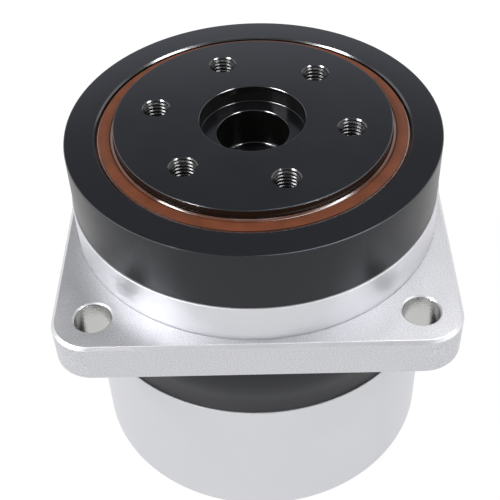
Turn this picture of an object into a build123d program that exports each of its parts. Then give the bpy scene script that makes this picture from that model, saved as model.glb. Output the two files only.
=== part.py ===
from build123d import *
import math
import os

# Strain wave gear reducer, flange output, hollow clamp input.
# Millimetres. The origin is the centre of the motor side mounting face, +Z points to the output.

# Fits
RUN_GAP = 0.03          # radial gap of a running seal lip
FIT_GAP = 0.01          # radial gap of a located or pressed cylinder
THREAD_GAP = 0.02       # radial gap between a screw and its tapped hole
BODY_GAP = 0.3          # least gap between surfaces that turn past each other
BEARING_GAP = 0.02      # gap between a rolling element and its track

# Heights of the stack, from the motor face up
ADAPTER_H = 51.0        # motor adapter
SPLINE_H = 22.0         # circular spline, the lower black band
FLANGE_T = 13.0         # square flange
BOSS_H = 12.5           # round boss above the flange
RING_H = 20.0           # bearing ring, the upper black band
OUTPUT_PROUD = 2.5      # output face above the bearing ring
Z_SPLINE = ADAPTER_H
Z_HOUSING = Z_SPLINE + SPLINE_H
Z_FLANGE_TOP = Z_HOUSING + FLANGE_T
Z_RING = Z_FLANGE_TOP + BOSS_H
Z_RING_TOP = Z_RING + RING_H
Z_OUTPUT = Z_RING_TOP + OUTPUT_PROUD

# Teeth
MODULE = 0.8
FLEX_TEETH = 100
TOOTH_DIFFERENCE = 2    # the circular spline has this many more
PRESSURE_ANGLE = 28.6   # of the straight flanks
TOOTH_ADDENDUM = 0.6
TOOTH_DEDENDUM = 0.75
BACKLASH = 0.04         # taken off each tooth at its pitch line
SPLINE_TEETH = FLEX_TEETH + TOOTH_DIFFERENCE
FLEX_PITCH_R = MODULE * FLEX_TEETH / 2
SPLINE_PITCH_R = MODULE * SPLINE_TEETH / 2
WAVE = SPLINE_PITCH_R - FLEX_PITCH_R      # how far the ellipse stands out of the circle
SPLINE_TIP_R = SPLINE_PITCH_R - TOOTH_ADDENDUM
SPLINE_ROOT_R = SPLINE_PITCH_R + TOOTH_DEDENDUM
FLEX_TIP_R = FLEX_PITCH_R + TOOTH_ADDENDUM
FLEX_ROOT_R = FLEX_PITCH_R - TOOTH_DEDENDUM

# Flexspline
RIM_WALL = 1.0          # under the teeth
CUP_WALL = 0.7          # of the thin cup
DIAPHRAGM_T = 0.8
CUP_LIP = 0.7           # cup below its teeth
CUP_FILLET = 2.5        # where the cup turns into the diaphragm
FLEX_BOSS_T = 5.0
RIM_BORE_R = FLEX_ROOT_R - RIM_WALL
CUP_R = RIM_BORE_R + CUP_WALL

# Flexible bearing and cam
FLEX_BALL_D = 8.0
FLEX_BALLS = 23
FLEX_RACE_T = 1.9
FLEX_TRACK = 0.48       # depth of a ball in each race
FLEX_BEARING_W = 13.0
FLEX_CAGE_GAP = 1.0
CAM_LIP_T = 1.5
RETAINER_T = 2.0
FLEX_OUTER_R = RIM_BORE_R - RUN_GAP
FLEX_OUTER_BORE_R = FLEX_OUTER_R - FLEX_RACE_T
FLEX_BALL_R = FLEX_BALL_D / 2
FLEX_PATH_R = FLEX_OUTER_BORE_R + FLEX_TRACK - FLEX_BALL_R
FLEX_INNER_R = FLEX_PATH_R - FLEX_BALL_R + FLEX_TRACK
CAM_R = FLEX_INNER_R - FLEX_RACE_T

# Crossed roller bearing and bearing ring
ROLLER_D = 6.0
ROLLER_L = 5.7
ROLLERS = 36
SPACER_T = 1.5          # of a spacer between two rollers, at its thinnest
SPACER_SIDE = 4.6
ROLLER_TO_TEETH = 5.2   # radially, from the circular spline's pitch line to the rollers' circle
ROLLER_RISE = 4.9       # of the rollers' middle above the ring's lower face
LAND_GAP = 0.3          # each side of the rollers' circle
RELIEF_W = 0.9          # slot in the bottom of the V track
RELIEF_D = 0.35
ROLLER_R = SPLINE_PITCH_R + ROLLER_TO_TEETH
Z_ROLLER = Z_RING + ROLLER_RISE
TRACK_HALF = ROLLER_D / 2 + BEARING_GAP
TRACK_REACH = TRACK_HALF * math.sqrt(2)
RING_LAND_R = ROLLER_R + LAND_GAP
FLANGE_LAND_R = ROLLER_R - LAND_GAP
RING_SCREW_OUT = 7.6    # screw circle outside the rollers' circle
SHOULDER_H = 1.1        # land above the track on the output flange
PLUG_CLEAR = 0.06       # of the filling hole round a roller's diagonal

# Screws that hold the bearing ring, from below
RING_SCREWS = 12
RING_SCREW_D = 4.0
RING_SCREW_L = 25.0
RING_SCREW_GRIP = 16.5  # housing metal under the head
RING_WALL = 1.4         # outside the screws
RING_SCREW_R = ROLLER_R + RING_SCREW_OUT
RING_R = RING_SCREW_R + RING_SCREW_D / 2 + RING_WALL

# Outside
BAND_STEP = 0.5         # silver barrels stand out of the black bands by this
BARREL_R = RING_R + BAND_STEP
FLANGE_EDGE = 2.5       # square flange past the barrel, each side
FLANGE_SIDE = 2 * (BARREL_R + FLANGE_EDGE)
FLANGE_CORNER_R = 12.0
FLANGE_HOLE_D = 11.0
FLANGE_HOLE_IN = 12.27  # hole centre in from the flange's edges
FLANGE_HOLE_AT = FLANGE_SIDE / 2 - FLANGE_HOLE_IN
HOLE_BREAK = 0.35       # chamfer of the flange holes
EDGE_BREAK = 0.4        # chamfer of outer edges
FLANGE_BREAK = 1.0      # chamfer of the square flange's front edges
FOOT_GROOVE_W = 0.6     # undercut in the flange face, round the boss foot
FOOT_GROOVE_D = 0.35

# Registers and O rings between the casings
LIP_H = 1.5             # raised register lip
LIP_T = 2.3
LIP_TO_ROOT = 0.65      # lip outside the tooth roots
O_RING_W = 2.0
O_RING_H = 1.2          # squeezed height
O_RING_IN = 1.1         # groove outside its register
SKIRT_H = 2.0           # bearing ring's register
SKIRT_T = 3.7
LIP_IN_R = SPLINE_ROOT_R + LIP_TO_ROOT
LIP_OUT_R = LIP_IN_R + LIP_T
HOUSING_BORE_R = SPLINE_ROOT_R + 0.95
SKIRT_R = RING_LAND_R + SKIRT_T

# Screws through the circular spline, from the motor side
SPLINE_SCREWS = 6
SPLINE_SCREW_D = 5.0
SPLINE_SCREW_L = 75.0
SPLINE_SCREW_GRIP = 45.4    # adapter metal under the head
SPLINE_SCREW_EDGE = 6.5     # screw circle in from the barrel
SPLINE_SCREW_R = BARREL_R - SPLINE_SCREW_EDGE
DOWEL_D = 4.0
DOWEL_IN_ADAPTER = 6.0
DOWEL_IN_HOUSING = 8.0

# Output flange
OUTPUT_TO_ROLLERS = 4.0     # output face's radius inside the rollers' circle
OUTPUT_R = ROLLER_R - OUTPUT_TO_ROLLERS
PILOT_D = 32.0
PILOT_DEPTH = 5.5
BORE_D = 22.0
BORE_DEPTH = 17.5           # below the output face, to the bore's shoulder
BORE_SHOULDER_IN = 0.8
BORE_SHOULDER_T = 1.0
OUTPUT_HOLES = 6
OUTPUT_HOLE_D = 8.0
OUTPUT_PCD = 60.0
OUTPUT_HOLE_DEPTH = 16.0
OUTPUT_HOLE_BREAK = 0.35
OUTPUT_TURN = -11.5         # degrees, first hole from +X as the part stands at rest
HUB_IN_BOSS = 3.5           # spigot that centres the flexspline
HUB_SPIGOT_D = 28.0
HUB_DROP = 2.0              # hub below the flange's underside
CAP_T = 4.0
CAP_DISH = 2.0
CAP_WALL = 1.2

# Screws, pins and clamp ring of the flexspline
FLEX_SCREWS = 8
FLEX_SCREW_D = 5.0
FLEX_SCREW_R = 20.0
FLEX_SCREW_IN = 9.0         # thread in the output flange
CLAMP_RING_T = 3.0
FLEX_PIN_D = 4.0
FLEX_PIN_IN = 5.0
FLEX_BOSS_EDGE = 1.2        # boss and clamp ring past the screw heads

# Seals
OUT_SEAL_W = 5.5
OUT_SEAL_H = 7.6
OUT_SEAL_SUNK = 0.5         # seal face below the ring's face
IN_SEAL_W = 5.0
IN_SEAL_H = 7.0
SEAL_SKIN = 0.55            # rubber over the case
SEAL_CASE_T = 0.5
SPRING_D = 1.1

# Input shaft
MOTOR_SHAFT_D = 19.0
MOTOR_SHAFT_DEPTH = 42.0
SHAFT_D = 30.0
COLLAR_SEAT_D = 28.0
SHAFT_SHOULDER_D = 34.0
SHAFT_FLANGE_T = 6.0
CAM_SPIGOT_D = 20.0
CAM_SPIGOT_H = 11.5
CAM_SCREWS = 6
CAM_SCREW_D = 4.0
CAM_SCREW_L = 22.0
CAM_EDGE = 4.4              # shaft flange inside the cam
CAM_SCREW_IN = 3.7          # screw circle inside the shaft flange's rim
SHAFT_SLOTS = 4
SLOT_W = 2.0

# Input bearing
IN_BEARING_W = 9.0
IN_RACE_T = 2.4
IN_BALL_D = 5.4
IN_BALLS = 14
IN_TRACK = 0.85
IN_BEARING_BELOW = 9.0      # bearing's upper face below the adapter's upper face
CIRCLIP_T = 1.75
CIRCLIP_DEPTH = 1.2
CIRCLIP_W = 3.2
SHAFT_CIRCLIP_T = 1.5
SHAFT_CIRCLIP_DEPTH = 1.0
SHAFT_CIRCLIP_W = 2.4
IN_SEAL_TO_BEARING = 2.5
IN_RACE_R = SHAFT_D / 2 + IN_RACE_T
IN_PATH_R = IN_RACE_R + IN_BALL_D / 2 - IN_TRACK
IN_OUTER_BORE_R = IN_PATH_R + IN_BALL_D / 2 - IN_TRACK
IN_SEAT_R = IN_OUTER_BORE_R + IN_RACE_T
Z_IN_BEARING_TOP = ADAPTER_H - IN_BEARING_BELOW
Z_IN_BEARING = Z_IN_BEARING_TOP - IN_BEARING_W
Z_IN_SEAL_TOP = Z_IN_BEARING - IN_SEAL_TO_BEARING
Z_IN_SEAL = Z_IN_SEAL_TOP - IN_SEAL_H
SEAL_LEDGE_T = 1.5
Z_WEB = Z_IN_SEAL - SEAL_LEDGE_T

# Motor side
MOTOR_PILOT_D = 70.0
MOTOR_PILOT_DEPTH = 6.0
CAVITY_STEP = 2.0           # motor cavity inside the pilot recess, radially
MOTOR_SCREWS = 4
MOTOR_SCREW_D = 6.0
MOTOR_PCD = 90.0
MOTOR_SCREW_DEPTH = 15.0
GEAR_CAVITY_WALL = 4.0      # adapter's upper cavity inside its register lip
GEAR_CAVITY_DEPTH = 5.5
COLLAR_H = 12.0
COLLAR_T = 12.5
COLLAR_BELOW_WEB = 3.0
SHAFT_PAST_COLLAR = 0.5
COLLAR_SCREW_D = 5.0
COLLAR_SCREW_L = 20.0
COLLAR_SCREW_OUT = 6.5      # screw's axis outside the collar's bore
COLLAR_SEAT_AT = 7.0        # screw head's seat beyond the slit
ACCESS_D = 8.0
ACCESS_PLUG_T = 6.0

# Gear heights that follow from the stack
TOOTH_MARGIN = 2.5          # spline ring past its teeth, at each end
Z_TEETH = Z_SPLINE + TOOTH_MARGIN
TOOTH_FACE = SPLINE_H - 2 * TOOTH_MARGIN
Z_GEAR = Z_TEETH + TOOTH_FACE / 2
Z_CAM = Z_GEAR - FLEX_BEARING_W / 2
Z_SHAFT_FLANGE_TOP = Z_CAM - CAM_LIP_T
Z_SHAFT_FLANGE = Z_SHAFT_FLANGE_TOP - SHAFT_FLANGE_T
Z_BOSS_TOP = Z_RING - HUB_DROP
Z_BOSS = Z_BOSS_TOP - FLEX_BOSS_T
Z_CLAMP = Z_BOSS - CLAMP_RING_T
Z_COLLAR_TOP = Z_WEB - COLLAR_BELOW_WEB
Z_COLLAR = Z_COLLAR_TOP - COLLAR_H
Z_SHAFT = Z_COLLAR - SHAFT_PAST_COLLAR


# Helpers
def turned(points):
    """A closed (radius, height) outline turned a full circle about the axis."""
    outline = Polyline(*[(r, 0, z) for r, z in points], close=True)
    return revolve(make_face(outline), Axis.Z)


def tube(outer, inner, low, high):
    """A plain ring about the axis."""
    return turned([(inner, low), (outer, low), (outer, high), (inner, high)])


def rod(radius, low, high, x=0.0, y=0.0):
    """A cylinder along Z from low to high."""
    return Pos(x, y, (low + high) / 2) * Cylinder(radius, high - low)


def around(count, radius, first=0.0):
    """Points evenly round a circle, as (x, y, angle)."""
    for k in range(count):
        angle = first + 360.0 * k / count
        t = math.radians(angle)
        yield radius * math.cos(t), radius * math.sin(t), angle


def oval(radius, low, high):
    """A disc with the wave's elliptical outline, its long axis along X."""
    face = Face(Wire([Edge.make_ellipse(radius + WAVE, radius - WAVE)]))
    return extrude(Pos(0, 0, low) * face, high - low)


def screw(d, length, seat_z, x, y, up=True):
    """A socket head screw on a seat, its thread pointing up or down."""
    head = 0.85 * d
    way = 1 if up else -1
    body = rod(d / 2, min(seat_z, seat_z + way * length), max(seat_z, seat_z + way * length), x, y)
    low, high = sorted((seat_z, seat_z - way * d))
    body += rod(head, low, high, x, y)
    socket = extrude(RegularPolygon(0.46 * d, 6), 0.55 * d)
    mouth = seat_z - way * d
    bottom = mouth if up else mouth - 0.55 * d
    return body - Pos(x, y, bottom) * socket


def head_well(d, seat_z, mouth_z, x, y):
    """The cylinder that a screw head sinks into, from its seat to its mouth."""
    return rod(0.85 * d + 0.25, min(seat_z, mouth_z), max(seat_z, mouth_z), x, y)


def cut_all(body, tools):
    """A body less a list of tools, in one operation."""
    return body - list(tools)


def group(solids):
    """Separate solids of one node."""
    return Compound(children=list(solids))


# Teeth
def tooth_points(radius, centre, tilt, inward):
    """Four corners of one tooth at a pitch point: root, tip, tip, root, in turning order."""
    slope = math.tan(math.radians(PRESSURE_ANGLE))
    half = math.pi * MODULE / 4 - BACKLASH / 2
    tip = half - TOOTH_ADDENDUM * slope
    root = half + TOOTH_DEDENDUM * slope
    sign = -1 if inward else 1
    corners = [(-TOOTH_DEDENDUM, -root), (TOOTH_ADDENDUM, -tip), (TOOTH_ADDENDUM, tip), (-TOOTH_DEDENDUM, root)]
    points = []
    for rise, side in corners:
        a = centre + tilt
        x = radius * math.cos(centre) + sign * rise * math.cos(a) - side * math.sin(a)
        y = radius * math.sin(centre) + sign * rise * math.sin(a) + side * math.cos(a)
        points.append((x, y))
    return points


def spline_outline():
    """Inner outline of the circular spline: a tooth space stands on the long axis of the wave."""
    points = []
    for k in range(SPLINE_TEETH):
        centre = 2 * math.pi * (k + 0.5) / SPLINE_TEETH
        points += tooth_points(SPLINE_PITCH_R, centre, 0.0, True)
    return Polyline(*points, close=True)


def flex_outline():
    """Outer outline of the flexspline's teeth as the wave generator bends them."""
    points = []
    for k in range(FLEX_TEETH):
        t = 2 * math.pi * k / FLEX_TEETH
        along = -WAVE / 2 * math.sin(2 * t) / FLEX_PITCH_R
        tilt = (-WAVE / 2 * math.sin(2 * t) + 2 * WAVE * math.sin(2 * t)) / FLEX_PITCH_R
        radius = FLEX_PITCH_R + WAVE * math.cos(2 * t)
        points += tooth_points(radius, t + along, tilt - along, False)
    return Polyline(*points, close=True)


# Casings
def adapter_profile():
    """Turned outline of the motor adapter."""
    web_bore = SHAFT_D / 2 + 2.0
    seal_seat = SHAFT_D / 2 + IN_SEAL_W
    pilot = MOTOR_PILOT_D / 2
    cavity = pilot - CAVITY_STEP
    groove = IN_SEAT_R + CIRCLIP_DEPTH
    upper = LIP_IN_R - GEAR_CAVITY_WALL
    z_upper = ADAPTER_H - GEAR_CAVITY_DEPTH
    return [
        (pilot, 0), (BARREL_R - EDGE_BREAK, 0), (BARREL_R, EDGE_BREAK),
        (BARREL_R, ADAPTER_H - EDGE_BREAK), (BARREL_R - EDGE_BREAK, ADAPTER_H),
        (LIP_OUT_R - FIT_GAP, ADAPTER_H), (LIP_OUT_R - FIT_GAP, ADAPTER_H + LIP_H - 0.2),
        (LIP_IN_R, ADAPTER_H + LIP_H - 0.2), (LIP_IN_R, ADAPTER_H - 1.0),
        (upper, z_upper + 1.5), (upper, z_upper),
        (IN_SEAT_R, z_upper), (IN_SEAT_R, Z_IN_BEARING_TOP + CIRCLIP_T),
        (groove, Z_IN_BEARING_TOP + CIRCLIP_T), (groove, Z_IN_BEARING_TOP),
        (IN_SEAT_R, Z_IN_BEARING_TOP), (IN_SEAT_R, Z_IN_BEARING),
        (seal_seat, Z_IN_BEARING), (seal_seat, Z_IN_SEAL),
        (web_bore, Z_IN_SEAL), (web_bore, Z_WEB),
        (cavity, Z_WEB), (cavity, MOTOR_PILOT_DEPTH), (pilot, MOTOR_PILOT_DEPTH),
    ]


def access_axis():
    """X and Z of the radial hole that lines up with the clamp screw."""
    return COLLAR_SEAT_D / 2 + COLLAR_SCREW_OUT, (Z_COLLAR + Z_COLLAR_TOP) / 2


def access_hole(radius, inner, outer):
    """A cylinder along +Y through the adapter's wall behind the clamp screw."""
    x, z = access_axis()
    return Pos(x, (inner + outer) / 2, z) * Rot(90, 0, 0) * Cylinder(radius, outer - inner)


def o_ring_groove(z, up):
    """Rectangular groove in a casing's face, and the squeezed ring that lies in it."""
    inner = LIP_OUT_R + O_RING_IN
    outer = inner + O_RING_W
    high = z + (O_RING_H if up else 0)
    low = high - O_RING_H
    return tube(outer, inner, low, high), squeezed_ring(inner + 0.1, outer - 0.1, low, high)


def squeezed_ring(inner, outer, low, high):
    """An O ring pressed flat between two faces."""
    r = 0.4 * (high - low)
    return turned([
        (inner + r, low), (outer - r, low), (outer, low + r), (outer, high - r),
        (outer - r, high), (inner + r, high), (inner, high - r), (inner, low + r),
    ])


def motor_adapter():
    tools = []
    seat = ADAPTER_H - SPLINE_SCREW_GRIP
    for x, y, _ in around(SPLINE_SCREWS, SPLINE_SCREW_R, 30):
        tools.append(head_well(SPLINE_SCREW_D, seat, 0, x, y))
        tools.append(rod(SPLINE_SCREW_D / 2 + BODY_GAP, seat, ADAPTER_H, x, y))
    for x, y, _ in around(2, SPLINE_SCREW_R):
        tools.append(rod(DOWEL_D / 2 + FIT_GAP, ADAPTER_H - DOWEL_IN_ADAPTER, ADAPTER_H, x, y))
    for x, y, _ in around(MOTOR_SCREWS, MOTOR_PCD / 2, 45):
        tools.append(rod(MOTOR_SCREW_D / 2, 0, MOTOR_SCREW_DEPTH, x, y))
    tools.append(access_hole(ACCESS_D / 2, MOTOR_PILOT_D / 2 - CAVITY_STEP - 8, BARREL_R + 1))
    tools.append(o_ring_groove(ADAPTER_H - O_RING_H, True)[0])
    return cut_all(turned(adapter_profile()), tools)


def circular_spline():
    """Black ring with the internal teeth, and a register lip into the housing."""
    face = Face(Wire([Edge.make_circle(RING_R)]), [spline_outline().wire()])
    teeth = extrude(Pos(0, 0, Z_TEETH) * face, TOOTH_FACE)
    low = turned([
        (LIP_OUT_R, Z_SPLINE), (RING_R, Z_SPLINE), (RING_R, Z_TEETH),
        (LIP_IN_R, Z_TEETH), (LIP_IN_R, Z_SPLINE + LIP_H), (LIP_OUT_R, Z_SPLINE + LIP_H),
    ])
    top = Z_HOUSING + LIP_H - 0.2
    high = turned([
        (LIP_IN_R, Z_TEETH + TOOTH_FACE), (RING_R, Z_TEETH + TOOTH_FACE), (RING_R, Z_HOUSING),
        (LIP_OUT_R - FIT_GAP, Z_HOUSING), (LIP_OUT_R - FIT_GAP, top), (LIP_IN_R, top),
    ])
    tools = [rod(SPLINE_SCREW_D / 2 + BODY_GAP, Z_SPLINE, Z_HOUSING, x, y)
             for x, y, _ in around(SPLINE_SCREWS, SPLINE_SCREW_R, 30)]
    tools += [rod(DOWEL_D / 2 + FIT_GAP, Z_SPLINE, Z_HOUSING, x, y)
              for x, y, _ in around(2, SPLINE_SCREW_R)]
    return cut_all(teeth + low + high, tools)


def flange_plate():
    """Square plate with round corners and broken top edges."""
    plate = extrude(Pos(0, 0, Z_HOUSING) * RectangleRounded(FLANGE_SIDE, FLANGE_SIDE, FLANGE_CORNER_R), FLANGE_T)
    plate = chamfer(plate.edges().group_by(Axis.Z)[-1], FLANGE_BREAK)
    return chamfer(plate.edges().group_by(Axis.Z)[0], EDGE_BREAK)


def boss_profile():
    """Turned boss, down to the middle of the flange."""
    return [
        (0, Z_HOUSING + 1), (BARREL_R, Z_HOUSING + 1), (BARREL_R, Z_RING - EDGE_BREAK),
        (BARREL_R - EDGE_BREAK, Z_RING), (0, Z_RING),
    ]


def flange_housing():
    """Silver casing: square flange, round boss, and seats for the spline and the bearing ring."""
    groove = tube(BARREL_R + FOOT_GROOVE_W, BARREL_R, Z_FLANGE_TOP - FOOT_GROOVE_D, Z_FLANGE_TOP + 1)
    body = (flange_plate() - groove) + turned(boss_profile())
    bore = turned([
        (0, Z_HOUSING - 1), (LIP_OUT_R, Z_HOUSING - 1), (LIP_OUT_R, Z_HOUSING + LIP_H),
        (HOUSING_BORE_R, Z_HOUSING + LIP_H), (HOUSING_BORE_R, Z_RING - SKIRT_H),
        (SKIRT_R + FIT_GAP, Z_RING - SKIRT_H), (SKIRT_R + FIT_GAP, Z_RING + 1), (0, Z_RING + 1),
    ])
    tools = [bore, o_ring_groove(Z_HOUSING, True)[0], skirt_o_ring()[0]]
    for x, y, _ in around(4, FLANGE_HOLE_AT * math.sqrt(2), 45):
        tools.append(rod(FLANGE_HOLE_D / 2, Z_HOUSING - 1, Z_FLANGE_TOP + 1, x, y))
        tools.append(Pos(x, y, Z_FLANGE_TOP - HOLE_BREAK / 2) * Cone(
            FLANGE_HOLE_D / 2, FLANGE_HOLE_D / 2 + HOLE_BREAK, HOLE_BREAK))
    seat = Z_RING - RING_SCREW_GRIP
    for x, y, _ in around(RING_SCREWS, RING_SCREW_R, 15):
        tools.append(head_well(RING_SCREW_D, seat, Z_HOUSING, x, y))
        tools.append(rod(RING_SCREW_D / 2 + BODY_GAP, seat, Z_RING, x, y))
    tip = ADAPTER_H - SPLINE_SCREW_GRIP + SPLINE_SCREW_L
    for x, y, _ in around(SPLINE_SCREWS, SPLINE_SCREW_R, 30):
        tools.append(rod(SPLINE_SCREW_D / 2 + THREAD_GAP, Z_HOUSING, tip + 2, x, y))
    for x, y, _ in around(2, SPLINE_SCREW_R):
        tools.append(rod(DOWEL_D / 2 + FIT_GAP, Z_HOUSING, Z_HOUSING + DOWEL_IN_HOUSING, x, y))
    return cut_all(body, tools)


def skirt_o_ring():
    """Groove under the bearing ring's skirt, and its squeezed ring."""
    outer = SKIRT_R - 0.8
    inner = outer - O_RING_W
    high = Z_RING - SKIRT_H
    return tube(outer, inner, high - O_RING_H, high), squeezed_ring(inner + 0.1, outer - 0.1, high - O_RING_H, high)


def joint_o_rings():
    return group([o_ring_groove(ADAPTER_H - O_RING_H, True)[1], o_ring_groove(Z_HOUSING, True)[1], skirt_o_ring()[1]])


# Bearing ring and rollers
def roller_track():
    """The square track of the crossed rollers, on its corner, with relief slots."""
    square = [(ROLLER_R - TRACK_REACH, Z_ROLLER), (ROLLER_R, Z_ROLLER - TRACK_REACH),
              (ROLLER_R + TRACK_REACH, Z_ROLLER), (ROLLER_R, Z_ROLLER + TRACK_REACH)]
    reach = TRACK_REACH + RELIEF_D
    slot = tube(ROLLER_R + reach, ROLLER_R - reach, Z_ROLLER - RELIEF_W / 2, Z_ROLLER + RELIEF_W / 2)
    return turned(square) + slot


def ring_blank():
    """Bearing ring before its screw holes and filling hole."""
    seat = OUTPUT_R + OUT_SEAL_W
    z_seat = Z_RING_TOP - OUT_SEAL_SUNK - OUT_SEAL_H
    body = turned([
        (RING_LAND_R, Z_RING - SKIRT_H), (SKIRT_R, Z_RING - SKIRT_H), (SKIRT_R, Z_RING),
        (RING_R, Z_RING), (RING_R, Z_RING_TOP - EDGE_BREAK), (RING_R - EDGE_BREAK, Z_RING_TOP),
        (seat + EDGE_BREAK, Z_RING_TOP), (seat, Z_RING_TOP - EDGE_BREAK), (seat, z_seat), (RING_LAND_R, z_seat),
    ])
    return body - roller_track()


def filling_bore(gap):
    """Radial cylinder at the back, wide enough to let one roller through."""
    radius = math.hypot(ROLLER_D, ROLLER_L) / 2 + PLUG_CLEAR - gap
    inner = ROLLER_R + LAND_GAP - 1
    outer = RING_R + 1
    return Pos(0, (inner + outer) / 2, Z_ROLLER) * Rot(90, 0, 0) * Cylinder(radius, outer - inner)


def plug_pin(gap):
    """Axial pin through the filling plug, from the ring's lower face."""
    top = Z_ROLLER + ROLLER_D / 3
    return rod(RING_SCREW_D / 3 + gap, Z_RING + (0 if gap else 0.2), top, 0, RING_SCREW_R)


def outer_bearing_ring():
    tools = [filling_bore(0), plug_pin(FIT_GAP)]
    tip = Z_RING - RING_SCREW_GRIP + RING_SCREW_L
    for x, y, _ in around(RING_SCREWS, RING_SCREW_R, 15):
        tools.append(rod(RING_SCREW_D / 2 + THREAD_GAP, Z_RING, tip + 1, x, y))
    return cut_all(ring_blank(), tools)


def roller_filling_plug():
    return (ring_blank() & filling_bore(FIT_GAP)) - plug_pin(FIT_GAP)


def roller_at(angle, tilt, radius, length):
    """One roller body at an angle round the bearing, leaning one way or the other."""
    return Rot(0, 0, angle) * Pos(ROLLER_R, 0, Z_ROLLER) * Rot(0, tilt, 0) * Cylinder(radius, length)


def roller_pose(k):
    """Angle and lean of roller k."""
    return 360.0 * k / ROLLERS, 45 if k % 2 else -45


def crossed_rollers():
    return group([roller_at(*roller_pose(k), ROLLER_D / 2, ROLLER_L) for k in range(ROLLERS)])


def roller_spacers():
    """A block between each pair of rollers, hollowed to both."""
    width = SPACER_T + ROLLER_D / 2
    spacers = []
    for k in range(ROLLERS):
        angle = 360.0 * (k + 0.5) / ROLLERS
        block = Rot(0, 0, angle) * Pos(ROLLER_R, 0, Z_ROLLER) * Rot(0, 45, 0) * Box(SPACER_SIDE, width, SPACER_SIDE)
        beside = [roller_at(*roller_pose(n), ROLLER_D / 2 + 0.1, 3 * ROLLER_L) for n in (k, k + 1)]
        spacers.append(cut_all(block, beside))
    return group(spacers)


def screws_and_pins():
    """Screws of the casings, from below."""
    seat = Z_RING - RING_SCREW_GRIP
    ring = [screw(RING_SCREW_D, RING_SCREW_L, seat, x, y) for x, y, _ in around(RING_SCREWS, RING_SCREW_R, 15)]
    seat = ADAPTER_H - SPLINE_SCREW_GRIP
    spline = [screw(SPLINE_SCREW_D, SPLINE_SCREW_L, seat, x, y)
              for x, y, _ in around(SPLINE_SCREWS, SPLINE_SCREW_R, 30)]
    low = ADAPTER_H - DOWEL_IN_ADAPTER + 0.1
    high = Z_HOUSING + DOWEL_IN_HOUSING - 0.1
    dowels = [rod(DOWEL_D / 2, low, high, x, y) for x, y, _ in around(2, SPLINE_SCREW_R)]
    return group(ring), group(spline), group(dowels)


# Seals
def lip_seal(shaft_r, width, face_z, height, way):
    """Rubber lip, steel case and garter spring. The flat face is at face_z, the oil side lies along way."""
    seat = shaft_r + width - FIT_GAP

    def at(r, depth):
        return r, face_z + way * depth

    skin = SEAL_SKIN
    case_out = seat - skin
    neck = shaft_r + 0.42 * width
    case = turned([
        at(case_out, height - 0.4), at(case_out, skin), at(neck, skin), at(neck, skin + SEAL_CASE_T),
        at(case_out - SEAL_CASE_T, skin + SEAL_CASE_T), at(case_out - SEAL_CASE_T, height - 0.4),
    ])
    lip = shaft_r + RUN_GAP
    spring_at = 0.74 * height
    rubber = turned([
        at(seat - 0.5, 0), at(seat, 0.5), at(seat, height), at(case_out, height), at(case_out, skin),
        at(neck, skin), at(neck, skin + SEAL_CASE_T), at(neck - 0.35, skin + SEAL_CASE_T + 0.9),
        at(neck - 0.35, spring_at - 1.2), at(neck + 0.1, spring_at - 0.75), at(neck + 0.1, spring_at + 0.85),
        at(neck - 0.5, spring_at + 1.1), at(lip, spring_at - 0.1), at(lip + 0.02, spring_at - 0.35),
        at(neck - 1.05, spring_at - 1.7), at(neck - 1.05, 1.9), at(lip + 0.3, 0.7), at(lip, -0.15),
        at(lip + 0.25, -0.25), at(lip + 0.6, 0.1), at(lip + 0.75, 0.55), at(lip + 1.0, 0.55), at(lip + 1.1, 0),
    ])
    middle = neck + 0.1 + SPRING_D / 2 - 0.45
    place = Pos(0, 0, face_z + way * (spring_at + 0.05))
    spring = place * Torus(middle, SPRING_D / 2)
    return case, rubber - place * Torus(middle, SPRING_D / 2 + RUN_GAP), spring


def output_seal():
    return lip_seal(OUTPUT_R, OUT_SEAL_W, Z_RING_TOP - OUT_SEAL_SUNK, OUT_SEAL_H, -1)


def input_seal():
    return lip_seal(SHAFT_D / 2, IN_SEAL_W, Z_IN_SEAL, IN_SEAL_H, 1)


# Output side
def output_profile():
    """Turned outline of the output flange with its inner track land, hub and spigot."""
    z_under = Z_RING
    z_spigot = Z_BOSS_TOP - HUB_IN_BOSS
    z_shoulder = Z_ROLLER + TRACK_REACH + SHOULDER_H
    hub = FLEX_SCREW_R + 0.85 * FLEX_SCREW_D + FLEX_BOSS_EDGE - 1.0
    bore = BORE_D / 2
    rim = bore - BORE_SHOULDER_IN
    z_rim = Z_OUTPUT - BORE_DEPTH
    return [
        (PILOT_D / 2 + EDGE_BREAK, Z_OUTPUT), (OUTPUT_R - EDGE_BREAK, Z_OUTPUT), (OUTPUT_R, Z_OUTPUT - EDGE_BREAK),
        (OUTPUT_R, z_shoulder), (FLANGE_LAND_R, z_shoulder), (FLANGE_LAND_R, z_under),
        (hub, z_under), (hub, Z_BOSS_TOP), (HUB_SPIGOT_D / 2 - FIT_GAP, Z_BOSS_TOP),
        (HUB_SPIGOT_D / 2 - FIT_GAP, z_spigot), (bore, z_spigot), (bore, z_rim - BORE_SHOULDER_T),
        (rim, z_rim - BORE_SHOULDER_T), (rim, z_rim), (bore, z_rim),
        (bore, Z_OUTPUT - PILOT_DEPTH - EDGE_BREAK), (bore + EDGE_BREAK, Z_OUTPUT - PILOT_DEPTH),
        (PILOT_D / 2, Z_OUTPUT - PILOT_DEPTH), (PILOT_D / 2, Z_OUTPUT - EDGE_BREAK),
    ]


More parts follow.
